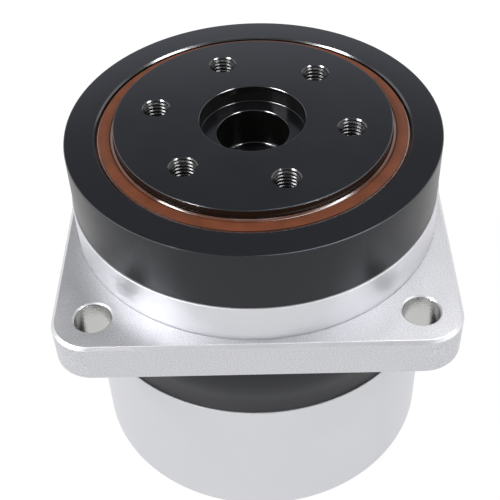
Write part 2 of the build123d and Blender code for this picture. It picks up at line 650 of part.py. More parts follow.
def output_flange():
    tools = [roller_track()]
    half = OUTPUT_HOLE_D / 2
    for x, y, _ in around(OUTPUT_HOLES, OUTPUT_PCD / 2, OUTPUT_TURN):
        tools.append(rod(half, Z_OUTPUT - OUTPUT_HOLE_DEPTH, Z_OUTPUT + 1, x, y))
        tools.append(Pos(x, y, Z_OUTPUT - OUTPUT_HOLE_DEPTH - half / 4) * Cone(0.01, half, half / 2))
        tools.append(Pos(x, y, Z_OUTPUT - OUTPUT_HOLE_BREAK / 2) * Cone(
            half, half + OUTPUT_HOLE_BREAK, OUTPUT_HOLE_BREAK))
    for x, y, _ in around(FLEX_SCREWS, FLEX_SCREW_R):
        tools.append(rod(FLEX_SCREW_D / 2 + THREAD_GAP, Z_BOSS_TOP - 1, Z_BOSS_TOP + FLEX_SCREW_IN + 1.5, x, y))
    for x, y, _ in flex_pin_points():
        tools.append(rod(FLEX_PIN_D / 2 + FIT_GAP, Z_BOSS_TOP - 1, Z_BOSS_TOP + FLEX_PIN_IN, x, y))
    return cut_all(turned(output_profile()), tools)


def flex_pin_points():
    """Two pins half way between flexspline screws."""
    return around(2, FLEX_SCREW_R, 180.0 / FLEX_SCREWS)


def bore_cap():
    """Dished plug pressed into the hub from below, up to the bore's shoulder."""
    top = Z_OUTPUT - BORE_DEPTH - BORE_SHOULDER_T
    r = BORE_D / 2 - FIT_GAP
    return turned([
        (0, top - CAP_T), (r - 0.4, top - CAP_T), (r, top - CAP_T + 0.4), (r, top),
        (r - CAP_WALL, top), (r - CAP_WALL - 0.8, top - CAP_DISH), (0, top - CAP_DISH),
    ])


def cup_body(radius, top, low):
    """The cup's form: the wave's ellipse over the teeth, turning round towards the diaphragm."""
    z_oval = Z_TEETH + TOOTH_FACE + 1.0
    z_round = top - CUP_FILLET - 2.0
    oval_face = Pos(0, 0, z_oval) * Face(Wire([Edge.make_ellipse(radius + WAVE, radius - WAVE)]))
    round_face = Pos(0, 0, z_round) * Face(Wire([Edge.make_circle(radius)]))
    return oval(radius, low, z_oval) + loft([oval_face, round_face]) + rod(radius, z_round, top)


def flexspline():
    """Thin steel cup with outer teeth at its open end and a bolting boss in its floor."""
    low = Z_TEETH - CUP_LIP
    floor_top = Z_BOSS_TOP - 0.2
    outer = cup_body(CUP_R, floor_top, low)
    outer = fillet(outer.edges().group_by(Axis.Z)[-1], CUP_FILLET)
    inner = cup_body(RIM_BORE_R, floor_top - DIAPHRAGM_T, low - 1)
    inner = fillet(inner.edges().group_by(Axis.Z)[-1], CUP_FILLET - CUP_WALL)
    teeth = extrude(Pos(0, 0, Z_TEETH) * make_face(flex_outline()), TOOTH_FACE)
    teeth -= oval(RIM_BORE_R, Z_TEETH - 1, Z_TEETH + TOOTH_FACE + 1)
    boss_r = FLEX_SCREW_R + 0.85 * FLEX_SCREW_D + FLEX_BOSS_EDGE
    tools = [rod(FLEX_SCREW_D / 2 + BODY_GAP, Z_BOSS - 1, Z_BOSS_TOP + 1, x, y)
             for x, y, _ in around(FLEX_SCREWS, FLEX_SCREW_R)]
    tools += [rod(FLEX_PIN_D / 2 + FIT_GAP, Z_BOSS - 1, Z_BOSS_TOP + 1, x, y) for x, y, _ in flex_pin_points()]
    tools.append(rod(HUB_SPIGOT_D / 2, Z_BOSS - 1, Z_BOSS_TOP + 1))
    return cut_all((outer - inner) + teeth + rod(boss_r, Z_BOSS, Z_BOSS_TOP), tools)


def flexspline_clamp_ring():
    outer = FLEX_SCREW_R + 0.85 * FLEX_SCREW_D + FLEX_BOSS_EDGE - 0.5
    inner = FLEX_SCREW_R - 0.85 * FLEX_SCREW_D - FLEX_BOSS_EDGE
    tools = [rod(FLEX_SCREW_D / 2 + BODY_GAP, Z_CLAMP - 1, Z_BOSS + 1, x, y)
             for x, y, _ in around(FLEX_SCREWS, FLEX_SCREW_R)]
    tools += [rod(FLEX_PIN_D / 2 + FIT_GAP, Z_CLAMP - 1, Z_BOSS + 1, x, y) for x, y, _ in flex_pin_points()]
    return cut_all(tube(outer, inner, Z_CLAMP, Z_BOSS), tools)


def flexspline_screws():
    length = CLAMP_RING_T + FLEX_BOSS_T + FLEX_SCREW_IN
    return group([screw(FLEX_SCREW_D, length, Z_CLAMP, x, y) for x, y, _ in around(FLEX_SCREWS, FLEX_SCREW_R)])


def flexspline_dowels():
    top = Z_BOSS_TOP + FLEX_PIN_IN - 0.1
    return group([rod(FLEX_PIN_D / 2, Z_CLAMP + 0.3, top, x, y) for x, y, _ in flex_pin_points()])


# Wave generator
def ball_path(radius_of_section):
    """A round section swept along the balls' elliptical path."""
    path = Pos(0, 0, Z_GEAR) * Edge.make_ellipse(FLEX_PATH_R + WAVE, FLEX_PATH_R - WAVE)
    section = Plane(origin=path @ 0, z_dir=path % 0) * Circle(radius_of_section)
    return sweep(section, path=path)


def flex_ball_points():
    """Middles of the flexible bearing's balls."""
    for k in range(FLEX_BALLS):
        t = 2 * math.pi * k / FLEX_BALLS
        yield (FLEX_PATH_R + WAVE) * math.cos(t), (FLEX_PATH_R - WAVE) * math.sin(t)


def flex_races():
    """Thin outer and inner race, with their ball grooves."""
    low, high = Z_GEAR - FLEX_BEARING_W / 2, Z_GEAR + FLEX_BEARING_W / 2
    groove = ball_path(FLEX_BALL_R + BEARING_GAP)
    outer = oval(FLEX_OUTER_R, low, high) - oval(FLEX_OUTER_BORE_R, low - 1, high + 1)
    inner = oval(FLEX_INNER_R, low, high) - oval(CAM_R, low - 1, high + 1)
    return outer - groove, inner - groove


def flex_bearing_balls():
    return group([Pos(x, y, Z_GEAR) * Sphere(FLEX_BALL_R) for x, y in flex_ball_points()])


def flex_bearing_cage():
    """Crown cage: a ring above the balls with fingers down between them."""
    low = Z_GEAR - FLEX_BALL_R / 3
    high = Z_GEAR + FLEX_BEARING_W / 2 - 0.5
    ring = oval(FLEX_OUTER_BORE_R - FLEX_CAGE_GAP, low, high) - oval(FLEX_INNER_R + FLEX_CAGE_GAP, low - 1, high + 1)
    return cut_all(ring, [Pos(x, y, Z_GEAR) * Sphere(FLEX_BALL_R + 0.12) for x, y in flex_ball_points()])


def cam_screw_points():
    """Screws near the rim of the shaft flange."""
    return around(CAM_SCREWS, CAM_R - CAM_EDGE - CAM_SCREW_IN)


def wave_generator_cam():
    """Elliptical cam with a shoulder lip under the inner race."""
    body = oval(CAM_R - FIT_GAP, Z_CAM, Z_CAM + FLEX_BEARING_W) + oval(CAM_R + FLEX_RACE_T / 2, Z_CAM - CAM_LIP_T, Z_CAM)
    tools = [rod(CAM_SPIGOT_D / 2 + FIT_GAP, Z_CAM - CAM_LIP_T - 1, Z_CAM + FLEX_BEARING_W + 1)]
    tools += [rod(CAM_SCREW_D / 2 + BODY_GAP, Z_CAM - CAM_LIP_T - 1, Z_CAM + FLEX_BEARING_W + 1, x, y)
              for x, y, _ in cam_screw_points()]
    return cut_all(body, tools)


def cam_retainer():
    """Plate over the cam that keeps the inner race in place."""
    low = Z_CAM + FLEX_BEARING_W
    body = oval(CAM_R + FLEX_RACE_T / 2, low, low + RETAINER_T)
    tools = [rod(CAM_SPIGOT_D / 2 - 1.5, low - 1, low + RETAINER_T + 1)]
    tools += [rod(CAM_SCREW_D / 2 + BODY_GAP, low - 1, low + RETAINER_T + 1, x, y) for x, y, _ in cam_screw_points()]
    return cut_all(body, tools)


def cam_screws():
    seat = Z_CAM + FLEX_BEARING_W + RETAINER_T
    return group([screw(CAM_SCREW_D, CAM_SCREW_L, seat, x, y, up=False) for x, y, _ in cam_screw_points()])


# Input side
def shaft_profile():
    """Turned outline of the hollow input shaft."""
    bore = MOTOR_SHAFT_D / 2
    seat, body = COLLAR_SEAT_D / 2, SHAFT_D / 2
    groove_top = Z_IN_BEARING
    groove = body - SHAFT_CIRCLIP_DEPTH
    rim = CAM_R - CAM_EDGE
    z_bore = Z_SHAFT + MOTOR_SHAFT_DEPTH
    return [
        (bore, Z_SHAFT), (seat - EDGE_BREAK, Z_SHAFT), (seat, Z_SHAFT + EDGE_BREAK), (seat, Z_COLLAR_TOP + 1.0),
        (body, Z_COLLAR_TOP + 2.0), (body, groove_top - SHAFT_CIRCLIP_T), (groove, groove_top - SHAFT_CIRCLIP_T),
        (groove, groove_top), (body, groove_top), (body, Z_IN_BEARING_TOP),
        (SHAFT_SHOULDER_D / 2, Z_IN_BEARING_TOP), (SHAFT_SHOULDER_D / 2, Z_SHAFT_FLANGE),
        (rim, Z_SHAFT_FLANGE), (rim, Z_SHAFT_FLANGE_TOP), (CAM_SPIGOT_D / 2, Z_SHAFT_FLANGE_TOP),
        (CAM_SPIGOT_D / 2, Z_SHAFT_FLANGE_TOP + CAM_SPIGOT_H - EDGE_BREAK),
        (CAM_SPIGOT_D / 2 - EDGE_BREAK, Z_SHAFT_FLANGE_TOP + CAM_SPIGOT_H),
        (0, Z_SHAFT_FLANGE_TOP + CAM_SPIGOT_H), (0, z_bore + bore / 2), (bore, z_bore),
    ]


def input_shaft():
    """Hollow shaft: slotted clamp end, bearing seat, and a flange that carries the cam."""
    tools = []
    slot_top = Z_COLLAR_TOP + 2.5
    for _, _, angle in around(SHAFT_SLOTS, 0):
        slot = Pos(SHAFT_D / 2, 0, (Z_SHAFT - 1 + slot_top) / 2) * Box(SHAFT_D, SLOT_W, slot_top - Z_SHAFT + 1)
        tools.append(Rot(0, 0, angle) * slot)
    for x, y, _ in cam_screw_points():
        tools.append(rod(CAM_SCREW_D / 2 + THREAD_GAP, Z_SHAFT_FLANGE - 1, Z_SHAFT_FLANGE_TOP + 1, x, y))
    return cut_all(turned(shaft_profile()), tools)


def open_clip(outer, inner, low, high):
    """A ring with a gap towards +X, as a circlip has."""
    gap = Pos(outer, 0, (low + high) / 2) * Box(2 * outer, 0.5 * inner, 2 * (high - low))
    return tube(outer, inner, low, high) - gap


def bearing_circlip():
    outer = IN_SEAT_R + CIRCLIP_DEPTH - FIT_GAP
    return open_clip(outer, outer - CIRCLIP_W, Z_IN_BEARING_TOP, Z_IN_BEARING_TOP + CIRCLIP_T - FIT_GAP)


def shaft_circlip():
    inner = SHAFT_D / 2 - SHAFT_CIRCLIP_DEPTH + FIT_GAP
    return open_clip(inner + SHAFT_CIRCLIP_W, inner, Z_IN_BEARING - SHAFT_CIRCLIP_T + FIT_GAP, Z_IN_BEARING)


def input_races():
    """Outer and inner race of the input ball bearing."""
    groove = Pos(0, 0, (Z_IN_BEARING + Z_IN_BEARING_TOP) / 2) * Torus(IN_PATH_R, IN_BALL_D / 2 + BEARING_GAP)
    outer = tube(IN_SEAT_R - FIT_GAP, IN_OUTER_BORE_R, Z_IN_BEARING, Z_IN_BEARING_TOP)
    inner = tube(IN_RACE_R, SHAFT_D / 2 + FIT_GAP, Z_IN_BEARING, Z_IN_BEARING_TOP)
    return outer - groove, inner - groove


def input_balls_and_cage():
    z = (Z_IN_BEARING + Z_IN_BEARING_TOP) / 2
    points = list(around(IN_BALLS, IN_PATH_R))
    balls = [Pos(x, y, z) * Sphere(IN_BALL_D / 2) for x, y, _ in points]
    ring = tube(IN_OUTER_BORE_R - BODY_GAP, IN_RACE_R + BODY_GAP, z - IN_BALL_D / 4, z + IN_BEARING_W / 2 - 0.6)
    cage = cut_all(ring, [Pos(x, y, z) * Sphere(IN_BALL_D / 2 + 0.08) for x, y, _ in points])
    return group(balls), cage


def clamp_collar():
    """Split ring that squeezes the slotted shaft end, with its screw's well and thread."""
    bore = COLLAR_SEAT_D / 2
    x, z = access_axis()
    far = bore + COLLAR_T
    ring = tube(far, bore + FIT_GAP, Z_COLLAR, Z_COLLAR_TOP)
    slit = Pos(far, 0, z) * Box(2 * far - bore, SLOT_W, 2 * COLLAR_H)
    well = Pos(x, (COLLAR_SEAT_AT + far + 1) / 2, z) * Rot(90, 0, 0) * Cylinder(
        0.85 * COLLAR_SCREW_D + 0.25, far + 1 - COLLAR_SEAT_AT)
    free = Pos(x, COLLAR_SEAT_AT / 2, z) * Rot(90, 0, 0) * Cylinder(COLLAR_SCREW_D / 2 + BODY_GAP, COLLAR_SEAT_AT + 1)
    thread = Pos(x, -far / 2, z) * Rot(90, 0, 0) * Cylinder(COLLAR_SCREW_D / 2 + THREAD_GAP, far)
    return cut_all(ring, [slit, well, free, thread])


def clamp_screw():
    x, z = access_axis()
    return Pos(x, COLLAR_SEAT_AT, z) * Rot(90, 0, 0) * screw(COLLAR_SCREW_D, COLLAR_SCREW_L, 0, 0, 0)


def access_plug():
    """Plug in the radial hole, flush with the barrel."""
    wall = turned(adapter_profile())
    return wall & access_hole(ACCESS_D / 2 - FIT_GAP, BARREL_R - 2 * ACCESS_PLUG_T, BARREL_R + 1)


# The assembly
def build():
    """Every node's shape by its name."""
    ring_screws, spline_screws, dowels = screws_and_pins()
    out_case, out_lip, out_spring = output_seal()
    in_case, in_lip, in_spring = input_seal()
    flex_outer, flex_inner = flex_races()
    in_outer, in_inner = input_races()
    in_balls, in_cage = input_balls_and_cage()
    return {
        "motor_adapter": motor_adapter(),
        "circular_spline": circular_spline(),
        "flange_housing": flange_housing(),
        "outer_bearing_ring": outer_bearing_ring(),
        "roller_filling_plug": roller_filling_plug(),
        "filling_plug_pin": plug_pin(0),
        "bearing_ring_screws": ring_screws,
        "circular_spline_screws": spline_screws,
        "casing_dowels": dowels,
        "joint_o_rings": joint_o_rings(),
        "output_seal_case": out_case,
        "output_seal_lip": out_lip,
        "output_seal_spring": out_spring,
        "input_seal_case": in_case,
        "input_seal_lip": in_lip,
        "input_seal_spring": in_spring,
        "input_bearing_outer_race": in_outer,
        "bearing_circlip": bearing_circlip(),
        "access_plug": access_plug(),
        "output_flange": output_flange(),
        "bore_cap": bore_cap(),
        "flexspline": flexspline(),
        "flexspline_clamp_ring": flexspline_clamp_ring(),
        "flexspline_screws": flexspline_screws(),
        "flexspline_dowels": flexspline_dowels(),
        "input_shaft": input_shaft(),
        "shaft_circlip": shaft_circlip(),
        "input_bearing_inner_race": in_inner,
        "clamp_collar": clamp_collar(),
        "clamp_screw": clamp_screw(),
        "wave_generator_cam": wave_generator_cam(),
        "cam_retainer": cam_retainer(),
        "cam_screws": cam_screws(),
        "flex_bearing_outer_race": flex_outer,
        "flex_bearing_inner_race": flex_inner,
        "flex_bearing_balls": flex_bearing_balls(),
        "flex_bearing_cage": flex_bearing_cage(),
        "crossed_rollers": crossed_rollers(),
        "roller_spacers": roller_spacers(),
        "input_bearing_balls": in_balls,
        "input_bearing_cage": in_cage,
    }


os.makedirs("parts", exist_ok=True)
for name, shape in build().items():
    export_step(shape, f"parts/{name}.step")
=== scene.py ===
import math

import bmesh
import bpy
from mathutils import Matrix, Vector


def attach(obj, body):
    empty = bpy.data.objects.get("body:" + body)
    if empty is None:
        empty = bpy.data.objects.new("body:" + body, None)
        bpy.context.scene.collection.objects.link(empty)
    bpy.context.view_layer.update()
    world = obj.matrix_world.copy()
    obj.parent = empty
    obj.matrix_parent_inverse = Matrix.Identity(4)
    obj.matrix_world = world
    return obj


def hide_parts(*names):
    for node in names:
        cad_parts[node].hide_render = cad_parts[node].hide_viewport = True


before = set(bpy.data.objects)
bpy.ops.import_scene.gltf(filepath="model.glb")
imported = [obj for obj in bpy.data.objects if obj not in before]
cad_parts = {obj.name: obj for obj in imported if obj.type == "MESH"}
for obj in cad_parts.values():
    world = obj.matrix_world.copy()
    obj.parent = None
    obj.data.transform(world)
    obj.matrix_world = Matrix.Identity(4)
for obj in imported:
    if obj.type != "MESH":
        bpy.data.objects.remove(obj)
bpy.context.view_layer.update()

# Strain wave gear reducer: finer forms for its outer pieces, finishes for all of them, and a studio.
# Lengths are in millimetres and angles in degrees, as in the solids. +Z points to the output.
MM = 0.001

# Heights of the stack, from the motor face up
ADAPTER_H = 51.0            # motor adapter
SPLINE_H = 22.0             # circular spline, the lower black band
FLANGE_T = 13.0             # square flange
BOSS_H = 12.5               # round boss above the flange
RING_H = 20.0               # bearing ring, the upper black band
OUTPUT_PROUD = 2.5          # output face above the bearing ring
Z_SPLINE = ADAPTER_H
Z_HOUSING = Z_SPLINE + SPLINE_H
Z_FLANGE = Z_HOUSING + FLANGE_T
Z_RING = Z_FLANGE + BOSS_H
Z_RING_TOP = Z_RING + RING_H
Z_OUT = Z_RING_TOP + OUTPUT_PROUD

# Outside
BARREL_R = 57.5             # silver barrel and boss
BAND_STEP = 0.5             # they stand out of the black bands by this
RING_R = BARREL_R - BAND_STEP
EDGE_ROUND = 0.45           # round edges of the barrel and of the output face
CUT_PAST = 1.0              # how far a cutter reaches beyond the face that it cuts

# Square flange and boss
FLANGE_HALF = 60.0
CORNER_R = 12.0
FLANGE_BREAK = 1.0          # chamfer of the upper edges
FLANGE_FOOT = 0.4           # chamfer of the lower edges
HOLE_AT = 47.73             # corner holes, from the axis along X and along Y
HOLE_R = 5.5
HOLE_BREAK = 0.5
GROOVE_W = 0.28             # line round the foot of the boss
GROOVE_DEPTH = 0.22
GROOVE_UNDER = 1.5          # its reach under the boss
BOSS_SUNK = 0.4             # foot of the boss below the flange's face
BOSS_ROUND = 0.4
HOUSING_BORE_R = 42.5

# Crossed rollers, between a land of the bearing ring and one of the output flange
ROLLER_R = 46.0             # circle through the rollers' middles
ROLLER_RISE = 4.9           # and its height above the ring's lower face
LAND_GAP = 0.3              # each side of the rollers' circle
RING_LAND_R = ROLLER_R + LAND_GAP
FLANGE_LAND_R = ROLLER_R - LAND_GAP
Z_ROLLER = Z_RING + ROLLER_RISE

# Bearing ring
SKIRT_T = 3.7               # wall of the register in the housing
SKIRT_H = 2.0
SEAL_R = 47.5               # bore that holds the output seal
SEAL_BREAK = 0.55
SEAL_SUNK = 0.5             # seal's face below the ring's face
SEAL_H = 7.6
PLUG_R = 4.2                # plug in the hole that the rollers went in by
SEAM_IN = 0.1               # seam round the plug, inside and outside of its radius
SEAM_OUT = 0.05
SEAM_DEPTH = 1.0
SEAL_FACE = Z_RING_TOP - SEAL_SUNK
SKIRT_R = RING_LAND_R + SKIRT_T
Z_SKIRT = Z_RING - SKIRT_H

# Circular spline
SPLINE_TEETH = 102
TOOTH_TIP_R = 40.2
TOOTH_ROOT_R = 41.55
TIP_SHARE = 0.14            # half of a tooth's tip, as a share of the pitch
ROOT_SHARE = 0.34           # half of its root

# Output flange
OUT_R = 42.0
PILOT_R = 16.0
PILOT_DEPTH = 5.5
BORE_R = 11.0
BORE_DEPTH = 17.5           # down to the rim in the bore
RIM_IN = 0.8
RIM_T = 1.0
SHOULDER_H = 10.3           # land inside the rollers, above the flange's underside
HUB_R = 24.45
HUB_DROP = 2.0              # hub below the flange's underside
SPIGOT_R = 13.99            # centres the flexspline
SPIGOT_H = 3.5
Z_SHOULDER = Z_RING + SHOULDER_H
Z_HUB = Z_RING - HUB_DROP
Z_SPIGOT = Z_HUB - SPIGOT_H

# Tapped holes of the output flange
TAPS = 6
TAP_R = 4.0
TAP_CIRCLE = 30.0
TAP_TURN = -11.5            # first hole from +X, as the part stands at rest
TAP_DEPTH = 16.0
TAP_POINT = 2.0
TAP_BREAK = 0.35
TAP_PITCH = 1.25
RIDGE_H = 0.62
RIDGE_FADE = 0.8            # the last ridge runs out over this height
RIDGE_CLEAR = 0.01          # keeps the ridges' foot off the hole's wall and mouth
CREST = 1.35                # over 1, it flattens the ridges' crests
UNTAPPED = 1.0              # bottom of the hole that the ridges leave free

# Motor adapter
LIP_OUT_R = 44.5            # register lip into the circular spline
LIP_IN_R = 42.2
LIP_H = 1.3
LIP_BORE_DEPTH = 1.0        # straight wall under the lip, then a cone to the cavity
CAVITY_R = 38.2
CAVITY_DEPTH = 5.5
CAVITY_WALL = 1.5           # straight wall over the cavity's floor
BEARING_R = 23.5            # seat of the input bearing
Z_BEARING = 33.0
INPUT_SEAL_R = 20.0         # seat of the input seal
Z_INPUT_SEAL = 23.5
WEB_BORE_R = 17.0
Z_WEB = 22.0
MOTOR_PILOT_R = 35.0
MOTOR_PILOT_DEPTH = 6.0
MOTOR_CAVITY_R = 33.0

# Holes of the motor adapter
SPLINE_SCREWS = 6           # through the adapter and the circular spline into the housing
SPLINE_SCREW_EDGE = 6.5     # screw circle in from the barrel
SPLINE_SCREW_FIRST = 30.0
WELL_R = 4.5                # wells of their heads
WELL_DEPTH = 5.6
SPLINE_SCREW_CIRCLE = BARREL_R - SPLINE_SCREW_EDGE
MOTOR_TAPS = 4
MOTOR_TAP_CIRCLE = 45.0
MOTOR_TAP_FIRST = 45.0
MOTOR_TAP_R = 3.0
MOTOR_TAP_DEPTH = 15.0
MOTOR_TAP_POINT = 1.5
MOTOR_TAP_BREAK = 0.4
ACCESS_R = 4.0              # hole at the back to the clamp screw
ACCESS_FROM = 25.0
ACCESS_X = 20.5
ACCESS_Z = 13.0

# Fineness, in steps round an axis or in a turn
FINE = 384
MEDIUM = 256
COARSE = 128
SEAL_STEPS = 320
SEAM_STEPS = 96
HOLE_STEPS = 64
SCREW_STEPS = 48
THREAD_STEPS = 48
THREAD_ROWS = 8             # rows of points in one turn of a ridge
CORNER_STEPS = 14
FILLET_STEPS = 3
SHARP = 28.0                # an edge with a sharper turn keeps its crease
SEAL_SHARP = 40.0
THREAD_SHARP = 50.0


# Meshes
def rounded(outline):
    """A (radius, height[, fillet]) outline with its marked corners turned into small arcs."""
    points = []
    for i, corner in enumerate(outline):
        here = Vector(corner[:2])
        size = corner[2] if len(corner) > 2 else 0.0
        if not size:
            points.append(tuple(here))
            continue
        before = (Vector(outline[i - 1][:2]) - here).normalized()
        after = (Vector(outline[(i + 1) % len(outline)][:2]) - here).normalized()
        half = before.angle(after) / 2
        centre = here + (before + after).normalized() * (size / math.sin(half))
        start = here + before * (size / math.tan(half)) - centre
        end = here + after * (size / math.tan(half)) - centre
        sweep = math.atan2(start.x * end.y - start.y * end.x, start.dot(end))
        for k in range(FILLET_STEPS + 1):
            a = sweep * k / FILLET_STEPS
            c, s = math.cos(a), math.sin(a)
            points.append((centre.x + start.x * c - start.y * s, centre.y + start.x * s + start.y * c))
    return points


def block(inner, outer, low, high):
    """Outline of a plain ring, or of a cylinder where inner is 0."""
    return [(inner, low), (outer, low), (outer, high), (inner, high)]


def lathe_mesh(outline, steps=MEDIUM):
    """A closed (radius, height) outline turned round the Z axis."""
    bm = bmesh.new()
    rings = []
    for r, z in outline:
        if r == 0:
            rings.append([bm.verts.new((0, 0, z * MM))] * steps)
            continue
        ring = []
        for k in range(steps):
            a = 2 * math.pi * k / steps
            ring.append(bm.verts.new((r * MM * math.cos(a), r * MM * math.sin(a), z * MM)))
        rings.append(ring)
    for i, ring in enumerate(rings):
        other = rings[(i + 1) % len(rings)]
        for k in range(steps):
            n = (k + 1) % steps
            corners = list(dict.fromkeys([ring[k], ring[n], other[n], other[k]]))
            if len(corners) > 2:
                bm.faces.new(corners)
    bmesh.ops.recalc_face_normals(bm, faces=bm.faces)
    return bm


def as_object(bm, name):
    """An object of the scene made from a bmesh, which is freed."""
    mesh = bpy.data.meshes.new(name)
    bm.to_mesh(mesh)
    bm.free()
    obj = bpy.data.objects.new(name, mesh)
    bpy.context.scene.collection.objects.link(obj)
    return obj


def keep(bm, name, sharp=SHARP, weighted=True):
    """Turns a bmesh into an object with smooth faces and sharp corners."""
    for face in bm.faces:
        face.smooth = True
    for edge in bm.edges:
        if len(edge.link_faces) == 2 and edge.calc_face_angle(0) > math.radians(sharp):
            edge.smooth = False
    obj = as_object(bm, name)
    if weighted:
        normals = obj.modifiers.new("normals", "WEIGHTED_NORMAL")
        normals.keep_sharp = True
        normals.weight = 80
    return obj


def less(body, cutters):
    """Cuts a list of bmeshes out of another, and gives back a bmesh."""
    joined = bmesh.new()
    for cutter in cutters:
        part = bpy.data.meshes.new("cutter")
        cutter.to_mesh(part)
        cutter.free()
        joined.from_mesh(part)
        bpy.data.meshes.remove(part)
    tool = as_object(joined, "cutters")
    blank = as_object(body, "blank")
    cut = blank.modifiers.new("cut", "BOOLEAN")
    cut.operation = "DIFFERENCE"
    cut.solver = "EXACT"
    cut.object = tool
    bpy.context.view_layer.update()
    result = bmesh.new()
    result.from_object(blank, bpy.context.evaluated_depsgraph_get())
    for obj in (blank, tool):
        mesh = obj.data
        bpy.data.objects.remove(obj)
        bpy.data.meshes.remove(mesh)
    return result


def moved(bm, x=0.0, y=0.0, z=0.0):
    """Shifts a bmesh by millimetres."""
    bmesh.ops.translate(bm, verts=bm.verts, vec=(x * MM, y * MM, z * MM))
    return bm


def laid_back(bm):
    """Lays a bmesh that stands along +Z along +Y, which points to the back."""
    turn = Matrix.Rotation(math.radians(-90), 3, "X")
    bmesh.ops.rotate(bm, verts=bm.verts, cent=(0, 0, 0), matrix=turn)
    return bm


def around(count, radius, first=0.0):
    """Points evenly round a circle."""
    for k in range(count):
        a = math.radians(first + 360.0 * k / count)
        yield radius * math.cos(a), radius * math.sin(a)


def drill(radius, low, high, breaks, point=0.0):
    """A drill's shape: a flat or pointed end below and a flared mouth at high."""
    top = high + CUT_PAST
    return lathe_mesh([
        (0, low - point), (radius, low), (radius, high - breaks), (radius + breaks, high),
        (radius + breaks, top), (0, top),
    ], HOLE_STEPS)


# Node trees
class Nodes:
    """A short way to write the node tree of a material or of the world."""

    COLOUR_A, COLOUR_B, COLOUR_OUT = 6, 7, 2        # sockets of a Mix node that blends colours

    def __init__(self, owner, out="OutputMaterial"):
        self.owner = owner
        owner.use_nodes = True
        self.tree = owner.node_tree
        self.tree.nodes.clear()
        self.out = self.add(out)

    def add(self, kind, feeds=None, **settings):
        """A node with its settings. Each of its feeds links an output to an input, or sets a value."""
        node = self.tree.nodes.new("ShaderNode" + kind)
        for key, value in settings.items():
            setattr(node, key, value)
        for key, source in (feeds or {}).items():
            if isinstance(source, bpy.types.NodeSocket):
                self.tree.links.new(source, node.inputs[key])
            else:
                node.inputs[key].default_value = source
        return node

    def surface(self, shader):
        """Makes a shader node the result of the tree."""
        self.tree.links.new(shader.outputs[0], self.out.inputs["Surface"])
        return self.owner

    def coords(self, kind="Object"):
        return self.add("TexCoord").outputs[kind]

    def split(self, vector):
        return self.add("SeparateXYZ", {0: vector}).outputs

    def joined(self, **parts):
        return self.add("CombineXYZ", parts).outputs[0]

    def times(self, first, second):
        return self.add("Math", {0: first, 1: second}, operation="MULTIPLY").outputs[0]

    def larger(self, first, second):
        return self.add("Math", {0: first, 1: second}, operation="MAXIMUM").outputs[0]

    def length(self, vector):
        return self.add("VectorMath", {0: vector}, operation="LENGTH").outputs["Value"]

    def noise(self, place, scale, detail):
        feeds = {"Vector": place, "Scale": scale, "Detail": detail}
        return self.add("TexNoise", feeds).outputs["Fac"]

    def spread(self, value, low, high, start=0.3, end=0.7):
        """Maps start to low and end to high, straight between them and level outside."""
        feeds = {"Value": value, "From Min": start, "From Max": end, "To Min": low, "To Max": high}
        return self.add("MapRange", feeds).outputs[0]

    def shades(self, value, stops):
        """A colour ramp with (place, colour) stops."""
        node = self.add("ValToRGB", {"Fac": value})
        ramp = node.color_ramp
        while len(ramp.elements) < len(stops):
            ramp.elements.new(0.5)
        for element, (place, colour) in zip(ramp.elements, stops):
            element.position = place
            element.color = (*colour, 1.0)
        return node.outputs["Color"]

    def mottle(self, value, colour, dark, light):
        """A colour that varies with a value, between two shares of itself."""
        return self.shades(value, [(0.3, scaled(colour, dark)), (0.7, scaled(colour, light))])

    def painted(self, share, under, colour):
        """A colour laid over another where the share is 1."""
        feeds = {"Factor": share, self.COLOUR_A: under, self.COLOUR_B: (*colour, 1)}
        return self.add("Mix", feeds, data_type="RGBA").outputs[self.COLOUR_OUT]

    def bump(self, height, strength, distance, under=None):
        """A normal raised by a height, over another normal where one is given."""
        feeds = {"Height": height, "Strength": strength, "Distance": distance}
        if under is not None:
            feeds["Normal"] = under
        return self.add("Bump", feeds).outputs[0]


# Finishes
def scaled(colour, share):
    """A colour times a share, no brighter than white."""
    return tuple(min(1.0, c * share) for c in colour)


def grey(value):
    """A colour without a hue."""
    return (value, value, value)


def silver(value):
    """Anodised aluminium, a little towards blue."""
    return (value * 0.985, value * 0.99, value * 1.03)


